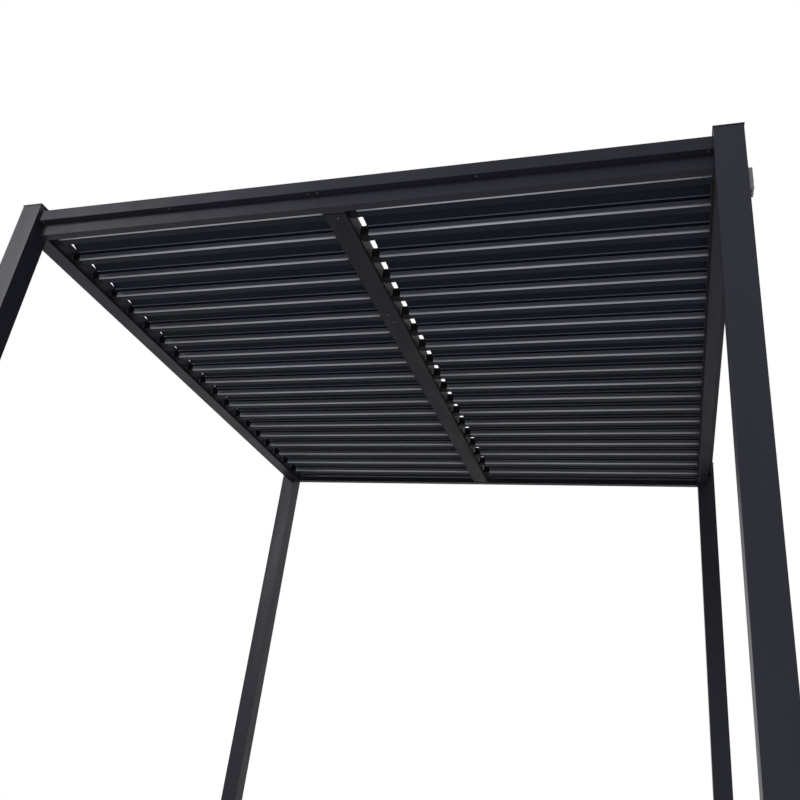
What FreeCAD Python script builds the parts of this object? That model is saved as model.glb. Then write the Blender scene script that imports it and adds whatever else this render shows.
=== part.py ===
"""Louvered pergola: four posts, a rim of gutter beams, a centre beam and two banks of turning louvers.

The frame is +Z up and the front faces -Y. The origin is on the floor, midway between the base plates.
Sizes are in millimetres. The louvers lie shut at rest, each rear wing over the next louver's lip.
"""
import FreeCAD, Part
import os

import Sketcher
from FreeCAD import Placement, Rotation, Vector

doc = FreeCAD.newDocument("pergola")
sheet = doc.addObject("Spreadsheet::Sheet", "Sizes")

SIZES = {
    # Overall
    "frame_width": 3000,
    "frame_depth": 3110,
    "clear_height": 2250,
    # Posts, caps and base plates
    "post_size": 98,
    "post_wall": 2.5,
    "post_rise": 148,
    "cap_lip": 2,
    "cap_thick": 5,
    "foot_size": 150,
    "foot_thick": 6,
    "anchor_spacing": 124,
    "anchor_radius": 5.5,
    # Gutter beams: insets are from the posts' outer faces, heights from the beams' underside
    "band_inset": 15,
    "gutter_inset": 44,
    "end_inner": 80,
    "left_inner": 124,
    "right_inner": 94,
    "band_bottom": 62,
    "beam_height": 117,
    "gutter_depth": 32,
    "side_wall": 78,
    "beam_wall": 2.5,
    "drain_foot": 16,
    "drain_top": 40,
    "drain_margin": 2,
    # Centre beam and the plate that closes its underside
    "centre_width": 90,
    "centre_height": 78,
    "cover_thick": 3,
    "cover_gap": 12,
    # Louver banks: as many louvers as come nearest to the spacing
    "louver_spacing": 154,
    "rear_lap": 0.8,
    "first_louver": 15,
    "louver_lift": 12,
    "drive_gap": 38,
    "end_gap": 9,
    # Louver section: back from the front of the lip, and up from the lowest face
    "lip_height": 25,
    "lip_thick": 2,
    "edge_bevel": 3,
    "trough_width": 18,
    "trough_floor": 6,
    "trough_slope": 6,
    "nose_width": 46,
    "nose_height": 22,
    "skin_thick": 2,
    "ridge_back": 95,
    "ridge_rise": 47,
    "foot_back": 134,
    "foot_drop": 4,
    "wing_reach": 171,
    "wing_rise": 31,
    "spout_reach": 30,
    "pivot_back": 33,
    "pivot_rise": 11,
    "pin_half": 4.6,
    "pin_clearance": 0.5,
    "pin_tip_gap": 0.5,
    # Pivot rails, each a strip with open cradles
    "rail_thick": 3,
    "rail_foot": 8,
    "rail_height": 8,
    "cradle_width": 26,
    "cradle_rise": 9,
    # Levers and link bars
    "rivet_back": 28,
    "rivet_rise": 62,
    "lever_corner": 10,
    "lever_thick": 4,
    "lever_stand": 8,
    "bar_height": 16,
    "bar_thick": 4,
    "bar_gap": 0.3,
    "bar_end": 12,
    # Crank gearbox on the front right post
    "box_height": 95,
    "box_width": 52,
    "box_drop": 20,
    "box_corner": 6,
    "box_rim": 3,
    "flange_thick": 3,
    "gear_depth": 12,
    "eye_radius": 11,
    "eye_bore": 6,
    "eye_drop": 7,
    "eye_stand": 3,
    "eye_thick": 6,
}
for row, (name, value) in enumerate(SIZES.items(), start=1):
    sheet.set(f"A{row}", str(value))
    sheet.setAlias(f"A{row}", name)
doc.recompute()

# Places that several pieces share, as sums of the sizes
SPAN_X = "frame_width / 2"
SPAN_Y = "frame_depth / 2"
POST_X = "frame_width / 2 - post_size / 2"
POST_Y = "frame_depth / 2 - post_size / 2"
LIP_START = "- frame_depth / 2 + end_inner + first_louver"
LIP_END = "frame_depth / 2 - end_inner - wing_reach + rear_lap"
RUN = "frame_depth - 2 * end_inner - first_louver - wing_reach + rear_lap"
PIVOT_START = LIP_START + " + pivot_back"
PIVOT_RISE = "louver_lift + pivot_rise"
BANKS = {
    "left": {
        "blade_start": "- frame_width / 2 + left_inner + drive_gap",
        "blade_length": "frame_width / 2 - left_inner - drive_gap - end_gap - centre_width / 2",
        "drive_rail": "- frame_width / 2 + left_inner",
        "far_rail": "- centre_width / 2 - rail_thick",
    },
    "right": {
        "blade_start": "centre_width / 2 + drive_gap",
        "blade_length": "frame_width / 2 - right_inner - drive_gap - end_gap - centre_width / 2",
        "drive_rail": "centre_width / 2",
        "far_rail": "frame_width / 2 - right_inner - rail_thick",
    },
}
CORNERS = {"front_left": (-1, -1), "front_right": (1, -1), "rear_left": (-1, 1), "rear_right": (1, 1)}

# The louver's section in two runs, which its spout shares: round the nose's foot, and round the trough
NOSE_FOOT = [
    ("0", "edge_bevel"),
    ("edge_bevel", "0"),
    ("nose_width - edge_bevel", "0"),
    ("nose_width", "edge_bevel"),
]
TROUGH = [
    ("trough_width + trough_slope", "nose_height"),
    ("trough_width", "trough_floor"),
    ("lip_thick", "trough_floor"),
    ("lip_thick", "lip_height"),
    ("0", "lip_height"),
]

SLANT = 0.414214
UP = Vector(0, 0, 1)
PARTS = []


def term(expression):
    """Point each size's name in an expression at the sheet."""
    return " ".join(f"Sizes.{word}" if word in SIZES else word for word in expression.split())


def amount(expression):
    """Work out a sum whose terms are sizes and numbers, multiplied or divided."""
    total = 0.0
    sign = 1.0
    product = 0.0
    step = None
    for word in expression.split():
        if word in "+-":
            total += product
            product = 0.0
            step = None
            sign = -1.0 if word == "-" else 1.0
        elif word in "*/":
            step = word
        else:
            number = float(getattr(sheet, word)) if word in SIZES else float(word)
            if step is None:
                product = sign * number
            elif step == "*":
                product *= number
            else:
                product /= number
    return total + product


COUNT = round(amount("frame_depth - 2 * end_inner") / amount("louver_spacing"))


def signed(side, expression):
    """The same distance to the other side where side is -1."""
    if side > 0:
        return expression
    return "- " + " ".join({"-": "+", "+": "-"}.get(word, word) for word in expression.split())


def bind(thing, prop, expression):
    """Tie a property to the sheet."""
    thing.setExpression(prop, term(expression))


def stand(thing, across="0", back="0", up="0", turn=0):
    """Turn a piece about +Z and tie its place to the sheet."""
    thing.Placement = Placement(Vector(0, 0, 0), Rotation(UP, turn))
    for axis, expression in zip("xyz", (across, back, up)):
        bind(thing, f"Placement.Base.{axis}", expression)


def keep(thing, label):
    """Name a finished sub-part."""
    thing.Label = label
    PARTS.append(thing)
    return thing


def new_sketch(body, name, role, offset="0"):
    """Attach a sketch to one of the body's origin planes, moved along the plane's normal."""
    sketch = body.newObject("Sketcher::SketchObject", name)
    flat = next(item for item in body.Origin.OriginFeatures if item.Role == role)
    sketch.AttachmentSupport = [(flat, "")]
    sketch.MapMode = "FlatFace"
    bind(sketch, "AttachmentOffset.Base.z", offset)
    return sketch


def tie_point(sketch, index, point, across, up):
    """Tie a point's distances from the sketch's origin to the sheet."""
    for kind, expression in (("DistanceX", across), ("DistanceY", up)):
        rule = Sketcher.Constraint(kind, -1, 1, index, point, amount(expression))
        bind(sketch, f"Constraints[{sketch.addConstraint(rule)}]", expression)


def draw_loop(sketch, corners):
    """Draw a closed outline of straight lines."""
    spots = [Vector(amount(across), amount(up), 0) for across, up in corners]
    first = sketch.GeometryCount
    total = len(corners)
    for index, spot in enumerate(spots):
        sketch.addGeometry(Part.LineSegment(spot, spots[(index + 1) % total]), False)
    for index in range(total):
        after = first + (index + 1) % total
        sketch.addConstraint(Sketcher.Constraint("Coincident", first + index, 2, after, 1))
    for index, (across, up) in enumerate(corners):
        tie_point(sketch, first + index, 1, across, up)


def draw_circle(sketch, across, up, radius):
    """Draw a circle."""
    middle = Vector(amount(across), amount(up), 0)
    index = sketch.addGeometry(Part.Circle(middle, UP, amount(radius)), False)
    tie_point(sketch, index, 3, across, up)
    rule = Sketcher.Constraint("Radius", index, amount(radius))
    bind(sketch, f"Constraints[{sketch.addConstraint(rule)}]", radius)


def rectangle(low_across, low_up, high_across, high_up):
    """Corners of a rectangle, as pairs of expressions."""
    return [(low_across, low_up), (high_across, low_up), (high_across, high_up), (low_across, high_up)]


def pad(body, sketch, length, backward=False, centred=False):
    """Extrude a sketch: forward, backward, or half to each side."""
    solid = body.newObject("PartDesign::Pad", f"{sketch.Name}_pad")
    solid.Profile = sketch
    solid.Reversed = backward
    if centred:
        solid.SideType = "Symmetric"
    bind(solid, "Length", length)
    return solid


def copy_of(original, name, across="0", back="0", up="0"):
    """A copy of a piece, moved from the original's place."""
    copy = doc.addObject("Part::Compound", name)
    copy.Links = [original]
    stand(copy, across, back, up)
    return copy


def at_each_corner(original, label):
    """One sub-part made of a piece's copies at the four posts."""
    whole = doc.addObject("Part::Compound", label)
    whole.Links = [
        copy_of(original, f"{label}_{corner}", signed(side, POST_X), signed(end, POST_Y))
        for corner, (side, end) in CORNERS.items()
    ]
    return keep(whole, label)


def build_posts():
    """Square tubes between the base plates and the caps."""
    half = "post_size / 2"
    inside = "post_size / 2 - post_wall"
    for corner, (side, end) in CORNERS.items():
        body = doc.addObject("PartDesign::Body", f"post_{corner}")
        sketch = new_sketch(body, f"post_section_{corner}", "XY_Plane")
        draw_loop(sketch, rectangle(signed(-1, half), signed(-1, half), half, half))
        draw_loop(sketch, rectangle(signed(-1, inside), signed(-1, inside), inside, inside))
        pad(body, sketch, "clear_height + post_rise - foot_thick - cap_thick")
        stand(body, signed(side, POST_X), signed(end, POST_Y), "foot_thick")
        keep(body, f"post_{corner}")


def build_caps():
    """A flat cap on top of each post."""
    half = "post_size / 2 + cap_lip"
    cap = doc.addObject("PartDesign::Body", "cap")
    sketch = new_sketch(cap, "cap_outline", "XY_Plane")
    draw_loop(sketch, rectangle(signed(-1, half), signed(-1, half), half, half))
    pad(cap, sketch, "cap_thick")
    stand(cap, up="clear_height + post_rise - cap_thick")
    at_each_corner(cap, "post_caps")


def build_base_plates():
    """A base plate under each post, with four anchor holes."""
    half = "foot_size / 2"
    reach = "anchor_spacing / 2"
    plate = doc.addObject("PartDesign::Body", "plate")
    sketch = new_sketch(plate, "plate_outline", "XY_Plane")
    draw_loop(sketch, rectangle(signed(-1, half), signed(-1, half), half, half))
    for side, end in CORNERS.values():
        draw_circle(sketch, signed(side, reach), signed(end, reach), "anchor_radius")
    pad(plate, sketch, "foot_thick")
    at_each_corner(plate, "base_plates")


def beam_outline(inner, wall):
    """A gutter beam's outline: a band outside and above, an open gutter inside and below."""
    return [
        ("band_inset", "band_bottom"),
        ("gutter_inset", "band_bottom"),
        ("gutter_inset", "0"),
        (inner, "0"),
        (inner, wall),
        (inner + " - beam_wall", wall),
        (inner + " - beam_wall", "beam_wall"),
        ("gutter_inset + beam_wall", "beam_wall"),
        ("gutter_inset + beam_wall", "beam_height"),
        ("band_inset", "beam_height"),
    ]


def build_beam(side, inner, wall, length, across, back, turn):
    """An extruded gutter beam that butts against two posts."""
    body = doc.addObject("PartDesign::Body", f"beam_{side}")
    sketch = new_sketch(body, f"beam_section_{side}", "YZ_Plane")
    draw_loop(sketch, beam_outline(inner, wall))
    draw_loop(sketch, rectangle("band_inset + beam_wall", "band_bottom + beam_wall",
                                "gutter_inset", "beam_height - beam_wall"))
    pad(body, sketch, length, centred=True)
    stand(body, across, back, "clear_height", turn)
    return keep(body, f"beam_{side}")


def build_beams():
    """The four beams of the rim. The left gutter is wider and runs past the posts to the end beams."""
    along_x = "frame_width - 2 * post_size"
    along_y = "frame_depth - 2 * post_size"
    build_beam("front", "end_inner", "gutter_depth", along_x, "0", signed(-1, SPAN_Y), 0)
    build_beam("rear", "end_inner", "gutter_depth", along_x, "0", SPAN_Y, 180)
    build_beam("right", "right_inner", "drain_foot", along_y, SPAN_X, "0", 90)
    left = build_beam("left", "left_inner", "drain_foot", along_y, signed(-1, SPAN_X), "0", -90)
    ledge = new_sketch(left, "gutter_ledge", "YZ_Plane")
    draw_loop(ledge, [
        ("post_size", "0"),
        ("left_inner", "0"),
        ("left_inner", "drain_foot"),
        ("left_inner - beam_wall", "drain_foot"),
        ("left_inner - beam_wall", "beam_wall"),
        ("post_size", "beam_wall"),
    ])
    pad(left, ledge, "frame_depth - 2 * end_inner", centred=True)


def add_plate(name, across, back, up, length, height):
    """An upright plate along Y, as thick as the beams' walls."""
    plate = doc.addObject("Part::Box", name)
    for prop, expression in (("Length", "beam_wall"), ("Width", length), ("Height", height)):
        bind(plate, prop, expression)
    stand(plate, across, back, f"clear_height + {up}")
    return plate


def build_drain_wall(side, across, inset):
    """The wall on a side gutter's inner edge, with a slot where each trough drains through it."""
    label = f"drain_wall_{side}"
    end = f"frame_depth / 2 - {inset}"
    slot = "trough_width + drain_margin"
    less = "trough_width - drain_margin"
    rise = "drain_top - drain_foot"
    top = add_plate(f"{label}_top", across, signed(-1, end), "drain_top", f"frame_depth - 2 * {inset}",
                    "side_wall - drain_top")
    between = add_plate(f"{label}_between_1", across, f"{LIP_START} + {slot}", "drain_foot",
                        f"( {RUN} ) / {COUNT - 1} - {less}", rise)
    last = add_plate(f"{label}_last", across, f"{LIP_END} + {slot}", "drain_foot",
                     f"{end} - ( {LIP_END} ) - {less}", rise)
    plates = [top, between, last]
    if side == "left":
        plates.append(add_plate(f"{label}_first", across, signed(-1, end), "drain_foot", "first_louver", rise))
    for number in range(2, COUNT):
        plates.append(copy_of(between, f"{label}_between_{number}",
                              back=f"( {RUN} ) * {number - 1} / {COUNT - 1}"))
    wall = doc.addObject("Part::Compound", label)
    wall.Links = plates
    keep(wall, label)


def build_centre_beam():
    """The tube between the banks, and the plate that closes its underside."""
    half = "centre_width / 2"
    inside = "centre_width / 2 - beam_wall"
    beam = doc.addObject("PartDesign::Body", "centre_beam")
    sketch = new_sketch(beam, "centre_section", "XZ_Plane")
    draw_loop(sketch, rectangle(signed(-1, half), "cover_thick", half, "centre_height"))
    draw_loop(sketch, rectangle(signed(-1, inside), "cover_thick + beam_wall",
                                inside, "centre_height - beam_wall"))
    pad(beam, sketch, "frame_depth - 2 * end_inner", centred=True)
    stand(beam, up="clear_height")
    keep(beam, "centre_beam")

    cover = doc.addObject("PartDesign::Body", "centre_cover_plate")
    sketch = new_sketch(cover, "cover_section", "XZ_Plane")
    draw_loop(sketch, rectangle(signed(-1, half), "0", half, "cover_thick"))
    pad(cover, sketch, "frame_depth - 2 * end_inner - 2 * cover_gap", centred=True)
    stand(cover, up="clear_height")
    keep(cover, "centre_cover_plate")


def build_rail(label, across):
    """A rail: a strip, and on it one cradle, open above, for each louver pin of that end."""
    strip = doc.addObject("PartDesign::Body", f"strip_{label}")
    section = new_sketch(strip, f"strip_outline_{label}", "YZ_Plane")
    end = "frame_depth / 2 - post_size"
    draw_loop(section, rectangle(signed(-1, end), "rail_foot", end, "rail_foot + rail_height"))
    pad(strip, section, "rail_thick")
    stand(strip, across, up="clear_height")

    wide = "pin_half + pin_clearance"
    deep = "pin_half - pin_clearance"
    near = f"pin_half * {SLANT} + pin_clearance * {SLANT}"
    slant = f"pin_half * {SLANT} - pin_clearance * {SLANT}"
    low = "rail_foot + rail_height"
    top = PIVOT_RISE + " + cradle_rise"
    cradle = doc.addObject("PartDesign::Body", f"cradle_{label}")
    outline = new_sketch(cradle, f"cradle_outline_{label}", "YZ_Plane")
    draw_loop(outline, [
        (f"{PIVOT_START} - cradle_width / 2", low),
        (f"{PIVOT_START} + cradle_width / 2", low),
        (f"{PIVOT_START} + cradle_width / 2", top),
        (f"{PIVOT_START} + {wide}", top),
        (f"{PIVOT_START} + {wide}", f"{PIVOT_RISE} - {slant}"),
        (f"{PIVOT_START} + {near}", f"{PIVOT_RISE} - {deep}"),
        (f"{PIVOT_START} - {slant}", f"{PIVOT_RISE} - {deep}"),
        (f"{PIVOT_START} - {deep}", f"{PIVOT_RISE} - {slant}"),
        (f"{PIVOT_START} - {deep}", top),
        (f"{PIVOT_START} - cradle_width / 2", top),
    ])
    pad(cradle, outline, "rail_thick")
    stand(cradle, across, up="clear_height")

    rail = doc.addObject("Part::Compound", label)
    rail.Links = [strip, cradle] + [
        copy_of(cradle, f"cradle_{label}_{number}", back=f"( {RUN} ) * {number - 1} / {COUNT - 1}")
        for number in range(2, COUNT + 1)
    ]
    keep(rail, label)


def louver_outline():
    """A louver's section: nose with lip and trough, then a single skin up to a ridge and down to the wing."""
    return NOSE_FOOT + [
        ("nose_width", "nose_height - skin_thick"),
        ("ridge_back", "ridge_rise - skin_thick"),
        ("foot_back", "wing_rise"),
        ("foot_back", "wing_rise - foot_drop"),
        ("foot_back + skin_thick", "wing_rise - foot_drop"),
        ("foot_back + skin_thick", "wing_rise"),
        ("wing_reach", "wing_rise"),
        ("wing_reach", "wing_rise + skin_thick"),
        ("foot_back", "wing_rise + skin_thick"),
        ("ridge_back", "ridge_rise"),
        ("nose_width - edge_bevel", "nose_height"),
    ] + TROUGH


def pin_outline():
    """Corners of a louver's eight-sided pin."""
    far = "pin_half"
    near = f"pin_half * {SLANT}"
    signs = [("+", "+"), ("-", "+"), ("-", "-"), ("+", "-")]
    corners = []
    for number, (side, end) in enumerate(signs):
        pair = [(far, near), (near, far)]
        if number % 2:
            pair.reverse()
        corners += [(f"pivot_back {side} {across}", f"pivot_rise {end} {up}") for across, up in pair]
    return corners


def lever_outline():
    """A lever's outline, from round the pin to round the rivet."""
    return [
        ("pivot_back - lever_corner", "pivot_rise"),
        ("pivot_back", "pivot_rise - lever_corner"),
        ("pivot_back + rivet_back + lever_corner", "pivot_rise + rivet_rise"),
        ("pivot_back + rivet_back", "pivot_rise + rivet_rise + lever_corner"),
    ]


def build_louvers(bank, places):
    """A bank of louvers: the first is a body, and each of the others repeats it a pitch further back."""
    body = doc.addObject("PartDesign::Body", f"louver_{bank}")
    blade = new_sketch(body, f"blade_{bank}", "YZ_Plane")
    draw_loop(blade, louver_outline())
    pad(body, blade, places["blade_length"])

    spout = new_sketch(body, f"spout_{bank}", "YZ_Plane")
    draw_loop(spout, NOSE_FOOT + [("nose_width", "nose_height")] + TROUGH)
    pad(body, spout, "spout_reach", backward=True)

    drive_pin = new_sketch(body, f"drive_pin_{bank}", "YZ_Plane", "- spout_reach")
    draw_loop(drive_pin, pin_outline())
    pad(body, drive_pin, "drive_gap - spout_reach - pin_tip_gap", backward=True)

    far_pin = new_sketch(body, f"far_pin_{bank}", "YZ_Plane", places["blade_length"])
    draw_loop(far_pin, pin_outline())
    pad(body, far_pin, "end_gap - pin_tip_gap")

    lever = new_sketch(body, f"lever_{bank}", "YZ_Plane", "- lever_stand")
    draw_loop(lever, lever_outline())
    pad(body, lever, "lever_thick", backward=True)

    stand(body, places["blade_start"], LIP_START, "clear_height + louver_lift")
    keep(body, f"louver_{bank}_01")
    for number in range(2, COUNT + 1):
        copy = copy_of(body, f"louver_{bank}_copy_{number}", back=f"( {RUN} ) * {number - 1} / {COUNT - 1}")
        keep(copy, f"louver_{bank}_{number:02d}")


def build_link_bar(bank, places):
    """The bar that couples a bank's levers, beside them on the drive side."""
    bar = doc.addObject("Part::Box", f"link_bar_{bank}")
    bind(bar, "Length", "bar_thick")
    bind(bar, "Width", RUN + " + 2 * bar_end")
    bind(bar, "Height", "bar_height")
    stand(bar, places["blade_start"] + " - lever_stand - lever_thick - bar_gap - bar_thick",
          PIVOT_START + " + rivet_back - bar_end",
          "clear_height + " + PIVOT_RISE + " + rivet_rise - bar_height / 2")
    keep(bar, f"link_bar_{bank}")


def cut_corner_outline(half_width, low, high):
    """A rectangle with cut corners, centred across."""
    return [
        (signed(-1, half_width) + " + box_corner", low),
        (half_width + " - box_corner", low),
        (half_width, low + " + box_corner"),
        (half_width, high + " - box_corner"),
        (half_width + " - box_corner", high),
        (signed(-1, half_width) + " + box_corner", high),
        (signed(-1, half_width), high + " - box_corner"),
        (signed(-1, half_width), low + " + box_corner"),
    ]


def build_gearbox():
    """The crank gearbox, on a flange on the outer face of the front right post."""
    low = "- box_drop - box_height"
    flange = doc.addObject("PartDesign::Body", "gearbox_flange")
    outline = new_sketch(flange, "flange_outline", "YZ_Plane")
    draw_loop(outline, cut_corner_outline("box_width / 2", low, "- box_drop"))
    pad(flange, outline, "flange_thick")
    stand(flange, SPAN_X, signed(-1, POST_Y), "clear_height")
    keep(flange, "gearbox_flange")

    gearbox = doc.addObject("PartDesign::Body", "crank_gearbox")
    housing = new_sketch(gearbox, "housing_outline", "YZ_Plane")
    draw_loop(housing, cut_corner_outline("box_width / 2 - box_rim", low + " + box_rim",
                                          "- box_drop - box_rim"))
    pad(gearbox, housing, "gear_depth")
    eye = new_sketch(gearbox, "eye_outline", "YZ_Plane", "eye_stand")
    draw_circle(eye, "0", low + " - eye_drop", "eye_radius")
    draw_circle(eye, "0", low + " - eye_drop", "eye_bore")
    pad(gearbox, eye, "eye_thick")
    stand(gearbox, SPAN_X + " + flange_thick", signed(-1, POST_Y), "clear_height")
    keep(gearbox, "crank_gearbox")


build_posts()
build_caps()
build_base_plates()
build_beams()
build_drain_wall("left", "- frame_width / 2 + left_inner - beam_wall", "end_inner")
build_drain_wall("right", "frame_width / 2 - right_inner", "post_size")
build_centre_beam()
for bank, places in BANKS.items():
    build_rail(f"pivot_rail_{bank}_drive", places["drive_rail"])
    build_rail(f"pivot_rail_{bank}_far", places["far_rail"])
    build_louvers(bank, places)
    build_link_bar(bank, places)
build_gearbox()
doc.recompute()

for thing in doc.Objects:
    if "Invalid" in thing.State or "Error" in thing.State:
        raise RuntimeError(f"{thing.Label} failed: {thing.State}")
for part in PARTS:
    if part.Shape.isNull() or not part.Shape.isValid():
        raise RuntimeError(f"{part.Label} has no valid shape")

os.makedirs("parts", exist_ok=True)
for part in PARTS:
    part.Shape.exportStep(f"parts/{part.Label}.step")
print(f"{len(PARTS)} sub-parts")
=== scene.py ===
"""Looks of the louvered pergola: coats, louver trim, screws, joint lines, anchors, camera and light."""
import itertools
import math

import bmesh
import bpy
from mathutils import Matrix, Vector


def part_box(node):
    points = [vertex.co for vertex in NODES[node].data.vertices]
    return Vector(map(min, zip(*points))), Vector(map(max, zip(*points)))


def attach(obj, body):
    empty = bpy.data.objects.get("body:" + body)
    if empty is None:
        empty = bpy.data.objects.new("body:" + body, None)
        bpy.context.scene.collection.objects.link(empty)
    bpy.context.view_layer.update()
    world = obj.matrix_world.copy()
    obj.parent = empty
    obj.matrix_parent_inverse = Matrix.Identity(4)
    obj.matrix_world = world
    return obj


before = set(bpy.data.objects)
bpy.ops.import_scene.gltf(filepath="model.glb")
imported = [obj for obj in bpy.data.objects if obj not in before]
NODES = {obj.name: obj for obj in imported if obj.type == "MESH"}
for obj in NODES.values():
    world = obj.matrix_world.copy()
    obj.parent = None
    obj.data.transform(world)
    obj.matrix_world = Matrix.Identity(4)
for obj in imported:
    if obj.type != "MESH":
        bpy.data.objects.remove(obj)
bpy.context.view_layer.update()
BANKS = ("left", "right")
MM = 0.001
ALONG = Vector((1, 0, 0))
UPWARD = (0, 0, 1)
DOWNWARD = (0, 0, -1)

# The camera, found from the photograph's straight edges
EYE = Vector((1.216, -3.837, 0.227))
YAW, PITCH, ROLL = 0.3623, 0.4756, 0.1395
FOCAL_PIXELS = 829.56
CENTRE_PIXEL = (387.82, 371.05)
PICTURE_PIXELS = 800
SENSOR_MM = 36.0
CLIP_END = 200

# Along a louver, in millimetres, from the CAD: from the ends of its box to the ends of its blade, and how far
# its spout reaches out
DRIVE_GAP = 37.5
FAR_GAP = 8.5
SPOUT_REACH = 30.0

# Across a louver, in millimetres, from the CAD: back from the lip's front, and up from the lowest face
PIVOT = (33.0, 11.0)
RIVET = (61.0, 73.0)

# Trim along a louver, in millimetres
CAP_SKIN = 0.9
CAP_OVERLAP = 6
EAR_GAP = 1.5
NOSE_CAP_THICK = 1.4
RIVET_SEAT = 7.5
BOSS_SEAT = 8.0
WASHER_GAP = 3.0
FAR_WASHER_GAP = 2.0

# Round trim of a louver, in millimetres: radius and height
PIN_OUTLINE = [(5.05, 0), (5.05, 7.0)]
FAR_PIN_OUTLINE = [(5.05, 0), (5.05, 8.0)]
WASHER_OUTLINE = [(8.5, 0), (8.5, 1.2)]
RIVET_OUTLINE = [(3.0, 0), (3.0, 9.5), (5.6, 9.5), (5.2, 10.8), (3.4, 11.8), (0, 12.1)]
BOSS_OUTLINE = [(7.5, 0), (7.5, 1.0), (5.0, 1.8), (0, 1.8)]
PIN_SIDES = 20
RIVET_SIDES = 14
BOSS_SIDES = 16

# Sections of a louver's trim, in millimetres, measured as PIVOT is
BEAD_MIDDLE = 5.5
BEAD_RADIUS = 6.5
BEAD_FIRST_DEG = 168
BEAD_STEP_DEG = 16.3
BEAD_POINTS = 8
SPOUT_CAP = [
    (-0.9, 2.8), (2.8, -0.9), (43.2, -0.9), (46.9, 2.8), (46.9, 22.9), (23.5, 22.9),
    (17.5, 6.9), (2.9, 6.9), (2.9, 25.9), (-0.9, 25.9),
]
CAP_EAR = [(-0.9, 22.9), (14.0, 22.9), (14.0, 44.0), (-0.9, 44.0)]
# Thin strips over the lip's and the hook's front faces, in a lighter coat: painted light where these faces
# catch it
LIP_PAINTED_LIGHT_STRIP = [(-0.5, 4.0), (0.2, 4.0), (0.2, 25.2), (-0.5, 25.2)]
FOOT_PAINTED_LIGHT_STRIP = [(133.4, 26.4), (136.4, 26.4), (136.4, 31.0), (133.4, 31.0)]
NOSE_CAP = [
    (0.4, 3.2), (3.2, 0.4), (42.8, 0.4), (45.6, 3.2), (45.6, 19.6), (42.6, 21.6),
    (24.2, 21.6), (18.2, 5.6), (0.4, 5.6),
]

# Front beam, in millimetres, from the CAD: how far the band's underside is above the beam's, and how far the
# gutter's face is behind the band's
BAND_RISE = 62
FACE_INSET = 29

# Joints, from edge to edge in metres: of the front beam's halves along X, and of the cover's halves along Y
BEAM_JOINT = (-0.0576, -0.0564)
COVER_JOINT = (-0.6812, -0.6798)
LINE_PROUD = 0.25
UNDER_LINE_PROUD = 0.2
LINE_DEPTH = 1

# A screw's dome and socket, as shares of its radius and height
SCREW_PROFILE = [(1, 0), (1, 0.35), (0.86, 0.8), (0.6, 1), (0.42, 1), (0.378, 0.35), (0, 0.35)]
SCREW_SIDES = 14

# Screws of the frame: places in metres as the photograph shows them, sizes in millimetres
BAND_SCREWS_X = (-1.385, -0.734, -0.099, -0.059, 0.580, 1.385)
BAND_SCREW_INSET = 14
COVER_SCREWS = ((0.006, -1.437), (-0.004, -0.714), (0.003, -0.647), (-0.003, 0.847), (-0.004, 1.430))
FRAME_SCREW_RADIUS, FRAME_SCREW_HEIGHT = 4.5, 2.2

# Screws and round plate of the crank box, in millimetres: guesses, because the photograph doesn't show them
BOX_SCREW_RADIUS, BOX_SCREW_HEIGHT = 2.6, 1.4
BOX_SCREWS_ACROSS = (-15, 15)
BOX_SCREWS_UP = (24, 101)
PLATE_OUTLINE = [(17, 0), (17, 0.8), (15.5, 1.4), (0, 1.4)]
PLATE_UP = 62
PLATE_SIDES = 40

# Brush seal, in millimetres
SEAL_THICK = 5.4
SEAL_RISE = 56

# Anchors: places in metres from the CAD, outlines in millimetres
POST_X, POST_Y = 1.451, 1.506
ANCHOR_OFFSETS = (-0.062, 0.062)
ANCHOR_WASHER = [(5.3, 0), (10.5, 0), (10.5, 2), (5.3, 2)]
ANCHOR_NUT = [(9.0, 0), (9.4, 1), (9.4, 7), (8.6, 8)]
ANCHOR_STUD = [(4.9, 0), (4.9, 15), (4.0, 16), (0, 16)]
NUT_SEAT = 2
NUT_SIDES = 6
WASHER_SIDES = 24
STUD_SIDES = 16

# Noise in the coats: scale per metre and detail, and how far it shifts colour, roughness and height
DUST_SCALE, DUST_DETAIL = 3.0, 6.0
DUST_STOPS = (0.3, 0.72)
DUST_SHADES = (0.84, 1.18)
SHEEN_SCALE, SHEEN_DETAIL = 17.0, 3.0
SHEEN_SPAN = (0.3, 0.7)
SHEEN_SHIFTS = (-0.05, 0.07)
GRAIN_DETAIL = 2.0
GRAIN_HEIGHT = 0.12
MARKS_SCALE, MARKS_DETAIL = 900.0, 2.0
MARKS_STOPS = (0.35, 0.65)
MARKS_SHADE = 0.8
MARKS_STRENGTH, MARKS_HEIGHT = 0.15, 0.0001

# Stretch of the noise, which draws dust out along the length of a piece
PLAIN = (1.0, 1.0, 1.0)
BEAM_STREAK = (1.0, 0.25, 1.0)
POST_STREAK = (1.0, 1.0, 0.12)
LOUVER_STREAK = (0.12, 1.0, 1.0)
BEAD_STREAK = (0.1, 1.0, 1.0)
COVER_STREAK = (1.0, 0.2, 1.0)

# Edges of the solids
WELD_MM = 0.01
SHARP_DEG = 25

# Sky as light: the span along each axis over which it changes, and its values at the span's two ends
SKY_BY_HEIGHT = ((-0.05, 0.5), 0.25, 1.0)
SKY_BY_SIDE = ((-1.0, 1.0), 1.45, 0.35)
SKY_BY_FRONT = ((-1.0, 1.0), 1.2, 0.3)
SKY_COLOR = (0.87, 0.89, 1.0, 1)
WHITE = (1.0, 1.0, 1.0)

# Floor: half its side and the reach of its shadow in metres, and the shadow's ramp
FLOOR_HALF = 60.0
FLOOR_COLOR = (0.40, 0.40, 0.40, 1)
SHADOW_REACH = 0.45
SHADOW_STOPS = (0.25, 0.95)
SHADOW_COLOR = (0.42, 0.42, 0.43)


# Materials


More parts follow.
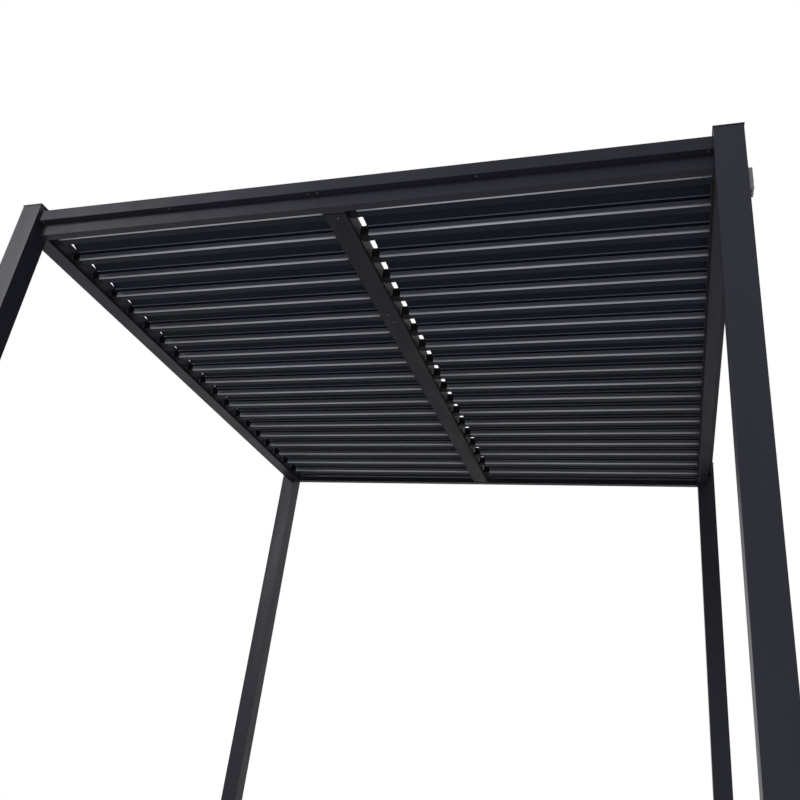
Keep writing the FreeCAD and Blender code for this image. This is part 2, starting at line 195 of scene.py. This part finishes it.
def new_material(name):
    """An empty node material, its tree and its output."""
    material = bpy.data.materials.new(name)
    material.use_nodes = True
    tree = material.node_tree
    tree.nodes.clear()
    output = tree.nodes.new("ShaderNodeOutputMaterial")
    return material, tree, output


def link(tree, source, socket, target, target_socket):
    """Join two node sockets by name."""
    tree.links.new(source.outputs[socket], target.inputs[target_socket])


def noise(tree, coordinates, scale, detail, stretch=PLAIN):
    """Noise over the object's own coordinates, stretched along an axis where needed."""
    mapping = tree.nodes.new("ShaderNodeMapping")
    mapping.inputs["Scale"].default_value = stretch
    texture = tree.nodes.new("ShaderNodeTexNoise")
    texture.inputs["Scale"].default_value = scale
    texture.inputs["Detail"].default_value = detail
    link(tree, coordinates, "Object", mapping, "Vector")
    link(tree, mapping, "Vector", texture, "Vector")
    return texture


def ramp(tree, stops, low_color, high_color):
    """A two-stop colour ramp."""
    node = tree.nodes.new("ShaderNodeValToRGB")
    for element, stop, color in zip(node.color_ramp.elements, stops, (low_color, high_color)):
        element.position = stop
        element.color = (*color, 1.0)
    return node


def spread(tree, source, socket, span, low, high):
    """Map a value from a span onto another, and stop at its ends."""
    node = tree.nodes.new("ShaderNodeMapRange")
    node.inputs["From Min"].default_value = span[0]
    node.inputs["From Max"].default_value = span[1]
    node.inputs["To Min"].default_value = low
    node.inputs["To Max"].default_value = high
    link(tree, source, socket, node, "Value")
    return node


def shaded(color, factor):
    """A colour made darker or lighter."""
    return tuple(channel * factor for channel in color)


def powder_coat(name, color, roughness, grain_mm, depth, streak=PLAIN, specular=0.5):
    """Textured powder coat: orange-peel grain, faint dust in drawn-out streaks, uneven sheen."""
    material, tree, output = new_material(name)
    coordinates = tree.nodes.new("ShaderNodeTexCoord")
    shader = tree.nodes.new("ShaderNodeBsdfPrincipled")
    dust = noise(tree, coordinates, DUST_SCALE, DUST_DETAIL, streak)
    tint = ramp(tree, DUST_STOPS, *(shaded(color, shade) for shade in DUST_SHADES))
    link(tree, dust, "Fac", tint, "Fac")
    link(tree, tint, "Color", shader, "Base Color")
    sheen = noise(tree, coordinates, SHEEN_SCALE, SHEEN_DETAIL, streak)
    rough = spread(tree, sheen, "Fac", SHEEN_SPAN, *(roughness + shift for shift in SHEEN_SHIFTS))
    link(tree, rough, "Result", shader, "Roughness")
    grain = noise(tree, coordinates, 1.0 / (grain_mm * MM), GRAIN_DETAIL)
    bump = tree.nodes.new("ShaderNodeBump")
    bump.inputs["Strength"].default_value = depth
    bump.inputs["Distance"].default_value = grain_mm * MM * GRAIN_HEIGHT
    link(tree, grain, "Fac", bump, "Height")
    link(tree, bump, "Normal", shader, "Normal")
    shader.inputs["Specular IOR Level"].default_value = specular
    link(tree, shader, "BSDF", output, "Surface")
    return material


def bare_metal(name, color, roughness):
    """Plated steel with fine turning marks."""
    material, tree, output = new_material(name)
    coordinates = tree.nodes.new("ShaderNodeTexCoord")
    shader = tree.nodes.new("ShaderNodeBsdfPrincipled")
    marks = noise(tree, coordinates, MARKS_SCALE, MARKS_DETAIL)
    tint = ramp(tree, MARKS_STOPS, shaded(color, MARKS_SHADE), color)
    link(tree, marks, "Fac", tint, "Fac")
    link(tree, tint, "Color", shader, "Base Color")
    shader.inputs["Metallic"].default_value = 1.0
    shader.inputs["Roughness"].default_value = roughness
    bump = tree.nodes.new("ShaderNodeBump")
    bump.inputs["Strength"].default_value = MARKS_STRENGTH
    bump.inputs["Distance"].default_value = MARKS_HEIGHT
    link(tree, marks, "Fac", bump, "Height")
    link(tree, bump, "Normal", shader, "Normal")
    link(tree, shader, "BSDF", output, "Surface")
    return material


COAT = (0.018, 0.019, 0.026)
BEAM_COAT = powder_coat(
    "beam_coat", COAT, roughness=0.46, grain_mm=1.6, depth=0.22, streak=BEAM_STREAK, specular=0.1)
POST_COAT = powder_coat(
    "post_coat", COAT, roughness=0.46, grain_mm=1.6, depth=0.22, streak=POST_STREAK, specular=0.15)
LOUVER_COAT = powder_coat(
    "louver_coat", (0.0055, 0.0075, 0.0145), roughness=0.55, grain_mm=1.6, depth=0.18,
    streak=LOUVER_STREAK, specular=0.08)
# Grey coat of the lip and hook strips: the louvers' charcoal as a lit copy, painted light
LIP_PAINTED_LIGHT_COAT = powder_coat(
    "lip_painted_light", (0.12, 0.125, 0.145), roughness=0.42, grain_mm=1.2, depth=0.12, streak=LOUVER_STREAK)
# Light grey coat on the louvers' beads: a painted highlight, where the charcoal bead catches light from the
# ground in front
BEAD_PAINTED_HIGHLIGHT_COAT = powder_coat(
    "bead_painted_highlight", (0.42, 0.43, 0.47), roughness=0.24, grain_mm=0.8, depth=0.08,
    streak=BEAD_STREAK, specular=1.0)
COVER_COAT = powder_coat(
    "cover_coat", (0.012, 0.0125, 0.015), roughness=0.6, grain_mm=1.2, depth=0.2,
    streak=COVER_STREAK, specular=0.1)
RAIL_COAT = powder_coat(
    "rail_coat", (0.010, 0.010, 0.012), roughness=0.5, grain_mm=1.2, depth=0.2, specular=0.1)
MOULDING = powder_coat(
    "black_moulding", (0.005, 0.005, 0.006), roughness=0.6, grain_mm=0.6, depth=0.12, specular=0.05)
RUBBER = powder_coat(
    "black_seal", (0.008, 0.008, 0.008), roughness=0.85, grain_mm=0.8, depth=0.3, specular=0.15)
GREY_MOULDING = powder_coat(
    "grey_moulding", (0.28, 0.28, 0.29), roughness=0.42, grain_mm=0.6, depth=0.12)
ZINC = bare_metal("plated_steel", (0.62, 0.62, 0.6), roughness=0.35)
BLACK_STEEL = bare_metal("blackened_steel", (0.10, 0.10, 0.105), roughness=0.4)

# Materials of a louver's trim and of the crank box's, and their places in them
TRIM_MATERIALS = (BEAD_PAINTED_HIGHLIGHT_COAT, MOULDING, ZINC, LIP_PAINTED_LIGHT_COAT)
OF_PAINTED_HIGHLIGHT, OF_MOULDING, OF_ZINC, OF_PAINTED_LIGHT = range(len(TRIM_MATERIALS))
BOX_MATERIALS = (BLACK_STEEL, GREY_MOULDING)
OF_SCREW, OF_PLATE = range(len(BOX_MATERIALS))


def paint(thing, material):
    """Give an object one material."""
    thing.data.materials.clear()
    thing.data.materials.append(material)


def soften(thing, width_mm, segments=2):
    """Round a solid's sharp edges a little."""
    weld = thing.modifiers.new("join_corners", "WELD")
    weld.merge_threshold = WELD_MM * MM
    bevel = thing.modifiers.new("soft_edges", "BEVEL")
    bevel.width = width_mm * MM
    bevel.segments = segments
    bevel.limit_method = "ANGLE"
    bevel.angle_limit = math.radians(SHARP_DEG)
    bevel.use_clamp_overlap = True
    bevel.harden_normals = False


def dress_solids():
    """Coats and softened edges for the solids, which show as they are."""
    for name, thing in NODES.items():
        if name.startswith("louver"):
            paint(thing, LOUVER_COAT)
            soften(thing, width_mm=0.35, segments=1)
        elif name.startswith(("pivot_rail", "link_bar")):
            paint(thing, RAIL_COAT)
        elif name == "crank_gearbox":
            paint(thing, GREY_MOULDING)
            soften(thing, width_mm=1.2, segments=3)
        elif name.startswith(("post", "base")):
            paint(thing, POST_COAT)
            soften(thing, width_mm=0.8)
        elif name == "centre_cover_plate":
            paint(thing, COVER_COAT)
            soften(thing, width_mm=0.6)
        else:
            paint(thing, BEAM_COAT)
            soften(thing, width_mm=0.6)


# Mesh builders


def finish_mesh(name, shape, materials, body):
    """Turn a bmesh into a piece that rides on a body."""
    bmesh.ops.recalc_face_normals(shape, faces=shape.faces)
    mesh = bpy.data.meshes.new(name)
    shape.to_mesh(mesh)
    shape.free()
    piece = bpy.data.objects.new(name, mesh)
    bpy.context.scene.collection.objects.link(piece)
    for material in materials:
        mesh.materials.append(material)
    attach(piece, body)


def in_metres(points):
    """Pairs of millimetres, in metres."""
    return [(first * MM, second * MM) for first, second in points]


def across(corner, points):
    """Points in millimetres back and up from a louver's low corner, as (y, z) in metres."""
    return [(corner.y + y * MM, corner.z + z * MM) for y, z in points]


def add_revolve(shape, outline, spot, axis, sides, index=0):
    """Add an outline of (radius, height) turned about an axis, from its first point to its last."""
    turn = Vector(UPWARD).rotation_difference(Vector(axis)).to_matrix().to_4x4()
    place = Matrix.Translation(Vector(spot)) @ turn
    made = []
    rings = []
    for radius, height in outline:
        if radius == 0:
            rings.append([shape.verts.new(place @ Vector((0, 0, height)))])
            continue
        rings.append([
            shape.verts.new(place @ Vector((radius * math.cos(2 * math.pi * k / sides),
                                            radius * math.sin(2 * math.pi * k / sides), height)))
            for k in range(sides)
        ])
    for low, high in zip(rings, rings[1:]):
        for k in range(sides):
            after = (k + 1) % sides
            if len(low) == 1:
                made.append(shape.faces.new((low[0], high[k], high[after])))
            elif len(high) == 1:
                made.append(shape.faces.new((low[k], low[after], high[0])))
            else:
                made.append(shape.faces.new((low[k], low[after], high[after], high[k])))
    for face in made:
        face.smooth = True
    for ring, flip in ((rings[0], True), (rings[-1], False)):
        if len(ring) > 1:
            made.append(shape.faces.new(reversed(ring) if flip else ring))
    for face in made:
        face.material_index = index


def add_run(shape, outline, start, end, index=0, smooth=False):
    """Add a closed outline of (y, z) drawn along X."""
    rings = [[shape.verts.new((x, y, z)) for y, z in outline] for x in (start, end)]
    total = len(outline)
    made = []
    for k in range(total):
        after = (k + 1) % total
        face = shape.faces.new((rings[0][k], rings[0][after], rings[1][after], rings[1][k]))
        face.smooth = smooth
        made.append(face)
    made.append(shape.faces.new(rings[0]))
    made.append(shape.faces.new(rings[1]))
    for face in made:
        face.material_index = index


def add_block(shape, low, high):
    """Add a plain block."""
    (x0, y0, z0), (x1, y1, z1) = low, high
    add_run(shape, [(y0, z0), (y1, z0), (y1, z1), (y0, z1)], x0, x1)


def screw_outline(radius, height):
    """A pan head screw: a low dome with a blind socket in its top."""
    return [(radius * width, height * rise) for width, rise in SCREW_PROFILE]


# Louver trim


def bead_outline():
    """The rounded bead on a louver's lower front edge, in millimetres."""
    arc = [math.radians(BEAD_FIRST_DEG + BEAD_STEP_DEG * k) for k in range(BEAD_POINTS)]
    return [
        (BEAD_MIDDLE + BEAD_RADIUS * math.cos(angle), BEAD_MIDDLE + BEAD_RADIUS * math.sin(angle))
        for angle in arc
    ] + [(BEAD_MIDDLE, BEAD_MIDDLE)]


def build_louver_trim():
    """Bead and strips in painted light, caps, round pins with washers, and lever rivet of each louver."""
    bead = bead_outline()
    pin = in_metres(PIN_OUTLINE)
    far_pin = in_metres(FAR_PIN_OUTLINE)
    washer = in_metres(WASHER_OUTLINE)
    rivet = in_metres(RIVET_OUTLINE)
    boss = in_metres(BOSS_OUTLINE)
    for bank in BANKS:
        for name in sorted(key for key in NODES if key.startswith(f"louver_{bank}_")):
            low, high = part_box(name)
            start = low.x + DRIVE_GAP * MM
            end = high.x - FAR_GAP * MM
            bead_start = start + CAP_OVERLAP * MM
            cap_start = start - (SPOUT_REACH + CAP_SKIN) * MM
            pivot = across(low, [PIVOT])[0]
            rivet_spot = across(low, [RIVET])[0]
            shape = bmesh.new()
            # The bead, in the coat that paints its highlight
            add_run(shape, across(low, bead), bead_start, end, OF_PAINTED_HIGHLIGHT, smooth=True)
            # Strips that paint light on the lip's and the hook's front faces
            for strip in (LIP_PAINTED_LIGHT_STRIP, FOOT_PAINTED_LIGHT_STRIP):
                add_run(shape, across(low, strip), bead_start, end, OF_PAINTED_LIGHT)
            add_run(shape, across(low, CAP_EAR), cap_start, start - EAR_GAP * MM, OF_MOULDING)
            add_run(shape, across(low, SPOUT_CAP), cap_start, bead_start, OF_MOULDING)
            add_run(shape, across(low, NOSE_CAP), end, end + NOSE_CAP_THICK * MM, OF_MOULDING)
            add_revolve(shape, pin, (start - SPOUT_REACH * MM, *pivot), -ALONG, PIN_SIDES, OF_ZINC)
            add_revolve(shape, far_pin, (end, *pivot), ALONG, PIN_SIDES, OF_ZINC)
            add_revolve(shape, washer, (start - (SPOUT_REACH + WASHER_GAP) * MM, *pivot), -ALONG,
                        PIN_SIDES, OF_MOULDING)
            add_revolve(shape, washer, (end + FAR_WASHER_GAP * MM, *pivot), ALONG,
                        PIN_SIDES, OF_MOULDING)
            add_revolve(shape, rivet, (start - RIVET_SEAT * MM, *rivet_spot), -ALONG,
                        RIVET_SIDES, OF_ZINC)
            add_revolve(shape, boss, (start - BOSS_SEAT * MM, *rivet_spot), ALONG,
                        BOSS_SIDES, OF_ZINC)
            finish_mesh(f"trim_{name}", shape, TRIM_MATERIALS, name)


# Frame details


def build_screws():
    """Pan head screws under the front band and the centre cover, where the photograph shows them."""
    shape = bmesh.new()
    outline = screw_outline(FRAME_SCREW_RADIUS * MM, FRAME_SCREW_HEIGHT * MM)
    low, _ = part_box("beam_front")
    band = low.z + BAND_RISE * MM
    for x in BAND_SCREWS_X:
        add_revolve(shape, outline, (x, low.y + BAND_SCREW_INSET * MM, band), DOWNWARD, SCREW_SIDES)
    cover_low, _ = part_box("centre_cover_plate")
    for x, y in COVER_SCREWS:
        add_revolve(shape, outline, (x, y, cover_low.z), DOWNWARD, SCREW_SIDES)
    finish_mesh("frame_screws", shape, (BLACK_STEEL,), "frame")


def build_seams():
    """Joint lines of the front beam and the centre cover, drawn as dark hairlines."""
    shape = bmesh.new()
    low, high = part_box("beam_front")
    face = low.y + FACE_INSET * MM
    band = low.z + BAND_RISE * MM
    left, right = BEAM_JOINT
    add_block(shape, (left, face - LINE_PROUD * MM, low.z), (right, face + LINE_DEPTH * MM, band))
    add_block(shape, (left, low.y - LINE_PROUD * MM, band), (right, low.y + LINE_DEPTH * MM, high.z))
    add_block(shape, (left, face, low.z - UNDER_LINE_PROUD * MM),
              (right, high.y, low.z + LINE_DEPTH * MM))
    cover_low, cover_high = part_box("centre_cover_plate")
    front, back = COVER_JOINT
    add_block(shape, (cover_low.x, front, cover_low.z - LINE_PROUD * MM),
              (cover_high.x, back, cover_low.z + LINE_DEPTH * MM))
    finish_mesh("joint_lines", shape, (RUBBER,), "frame")


def build_seals():
    """A brush seal on the right bank's far rail, which shuts the slit beside the louvers' ends."""
    shape = bmesh.new()
    low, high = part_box("pivot_rail_right_far")
    add_block(shape, (low.x - SEAL_THICK * MM, low.y, low.z), (low.x, high.y, low.z + SEAL_RISE * MM))
    finish_mesh("brush_seal", shape, (RUBBER,), "frame")


def build_anchors():
    """An anchor stud with washer and nut at each hole of the base plates."""
    shape = bmesh.new()
    _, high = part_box("base_plates")
    top = high.z
    washer = in_metres(ANCHOR_WASHER)
    nut = in_metres(ANCHOR_NUT)
    stud = in_metres(ANCHOR_STUD)
    for side, end, dx, dy in itertools.product((-1, 1), (-1, 1), ANCHOR_OFFSETS, ANCHOR_OFFSETS):
        x, y = side * POST_X + dx, end * POST_Y + dy
        add_revolve(shape, washer, (x, y, top), UPWARD, WASHER_SIDES)
        add_revolve(shape, nut, (x, y, top + NUT_SEAT * MM), UPWARD, NUT_SIDES)
        add_revolve(shape, stud, (x, y, top), UPWARD, STUD_SIDES)
    finish_mesh("anchors", shape, (ZINC,), "frame")


def build_gearbox_trim():
    """Cover screws and the round plate of the crank box."""
    shape = bmesh.new()
    low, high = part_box("crank_gearbox")
    middle = (low.y + high.y) / 2
    outline = screw_outline(BOX_SCREW_RADIUS * MM, BOX_SCREW_HEIGHT * MM)
    for dy, up in itertools.product(BOX_SCREWS_ACROSS, BOX_SCREWS_UP):
        add_revolve(shape, outline, (high.x, middle + dy * MM, low.z + up * MM), ALONG,
                    SCREW_SIDES, OF_SCREW)
    add_revolve(shape, in_metres(PLATE_OUTLINE), (high.x, middle, low.z + PLATE_UP * MM), ALONG,
                PLATE_SIDES, OF_PLATE)
    finish_mesh("gearbox_trim", shape, BOX_MATERIALS, "frame")


# Camera and light


def camera():
    """The photograph's camera."""
    data = bpy.data.cameras.new("camera")
    data.sensor_width = SENSOR_MM
    data.lens = SENSOR_MM * FOCAL_PIXELS / PICTURE_PIXELS
    half = PICTURE_PIXELS / 2
    data.shift_x = (half - CENTRE_PIXEL[0]) / PICTURE_PIXELS
    data.shift_y = (CENTRE_PIXEL[1] - half) / PICTURE_PIXELS
    data.clip_end = CLIP_END
    ahead = Vector((-math.sin(YAW) * math.cos(PITCH), math.cos(YAW) * math.cos(PITCH), math.sin(PITCH)))
    level = Vector((math.cos(YAW), math.sin(YAW), 0))
    above = level.cross(ahead)
    right = math.cos(ROLL) * level + math.sin(ROLL) * above
    up = math.cos(ROLL) * above - math.sin(ROLL) * level
    thing = bpy.data.objects.new("camera", data)
    bpy.context.scene.collection.objects.link(thing)
    turn = Matrix((right, up, -ahead)).transposed().to_4x4()
    thing.matrix_world = Matrix.Translation(EYE) @ turn
    bpy.context.scene.camera = thing


def add_light(name, spot, target, size, power, cone_deg):
    """A square soft light that faces a point and fades towards the edge of its cone."""
    data = bpy.data.lights.new(name, "AREA")
    data.size = size
    data.energy = power
    data.spread = math.radians(cone_deg)
    thing = bpy.data.objects.new(name, data)
    bpy.context.scene.collection.objects.link(thing)
    thing.visible_camera = False
    thing.location = spot
    thing.rotation_euler = (Vector(target) - Vector(spot)).to_track_quat("-Z", "Y").to_euler()


def multiply(tree, *pairs):
    """The product of several nodes' results."""
    total, socket = pairs[0]
    for node, name in pairs[1:]:
        product = tree.nodes.new("ShaderNodeMath")
        product.operation = "MULTIPLY"
        link(tree, total, socket, product, 0)
        link(tree, node, name, product, 1)
        total, socket = product, "Value"
    return total


def seen_white(tree, shader, output, white):
    """White to the camera, in reflections and through glass, and the other shader to diffuse light."""
    path = tree.nodes.new("ShaderNodeLightPath")
    seen, socket = path, "Is Camera Ray"
    for way in ("Is Glossy Ray", "Is Transmission Ray"):
        either = tree.nodes.new("ShaderNodeMath")
        either.operation = "MAXIMUM"
        link(tree, seen, socket, either, 0)
        link(tree, path, way, either, 1)
        seen, socket = either, "Value"
    mix = tree.nodes.new("ShaderNodeMixShader")
    link(tree, seen, socket, mix, "Fac")
    tree.links.new(shader.outputs[0], mix.inputs[1])
    tree.links.new(white.outputs[0], mix.inputs[2])
    tree.links.new(mix.outputs[0], output.inputs["Surface"])


def build_sky():
    """White to the camera and in reflections, and a cool sky as light.

    The sky is brighter in front, at the left and high up.
    """
    world = bpy.data.worlds.new("surround")
    bpy.context.scene.world = world
    world.use_nodes = True
    tree = world.node_tree
    tree.nodes.clear()
    output = tree.nodes.new("ShaderNodeOutputWorld")
    coordinates = tree.nodes.new("ShaderNodeTexCoord")
    parts = tree.nodes.new("ShaderNodeSeparateXYZ")
    link(tree, coordinates, "Generated", parts, "Vector")
    height = spread(tree, parts, "Z", *SKY_BY_HEIGHT)
    side = spread(tree, parts, "X", *SKY_BY_SIDE)
    front = spread(tree, parts, "Y", *SKY_BY_FRONT)
    strength = multiply(tree, (height, "Result"), (side, "Result"), (front, "Result"))
    sky = tree.nodes.new("ShaderNodeBackground")
    sky.inputs["Color"].default_value = SKY_COLOR
    link(tree, strength, "Value", sky, "Strength")
    white = tree.nodes.new("ShaderNodeBackground")
    white.inputs["Color"].default_value = (*WHITE, 1)
    seen_white(tree, sky, output, white)


def build_floor():
    """A floor that is white but for a soft shadow at the feet, and grey to diffuse light."""
    shape = bmesh.new()
    corners = ((-1, -1), (1, -1), (1, 1), (-1, 1))
    shape.faces.new([shape.verts.new((x * FLOOR_HALF, y * FLOOR_HALF, 0)) for x, y in corners])
    mesh = bpy.data.meshes.new("floor")
    shape.to_mesh(mesh)
    shape.free()
    floor = bpy.data.objects.new("floor", mesh)
    bpy.context.scene.collection.objects.link(floor)
    material, tree, output = new_material("floor")
    matt = tree.nodes.new("ShaderNodeBsdfDiffuse")
    matt.inputs["Color"].default_value = FLOOR_COLOR
    shade = tree.nodes.new("ShaderNodeAmbientOcclusion")
    shade.inputs["Distance"].default_value = SHADOW_REACH
    tint = ramp(tree, SHADOW_STOPS, SHADOW_COLOR, WHITE)
    link(tree, shade, "AO", tint, "Fac")
    white = tree.nodes.new("ShaderNodeEmission")
    link(tree, tint, "Color", white, "Color")
    seen_white(tree, matt, output, white)
    paint(floor, material)


camera()
build_sky()
build_floor()
add_light("key", spot=(-5.0, -7.0, 4.5), target=(-0.9, -1.5, 2.4), size=2.5, power=135, cone_deg=100)
add_light("ground_bounce", spot=(0, -2.0, 0.02), target=(0, -1.9, 4.0), size=7.0, power=70, cone_deg=180)
dress_solids()
build_louver_trim()
build_screws()
build_seams()
build_seals()
build_anchors()
build_gearbox_trim()

bpy.context.scene.view_settings.view_transform = "Standard"
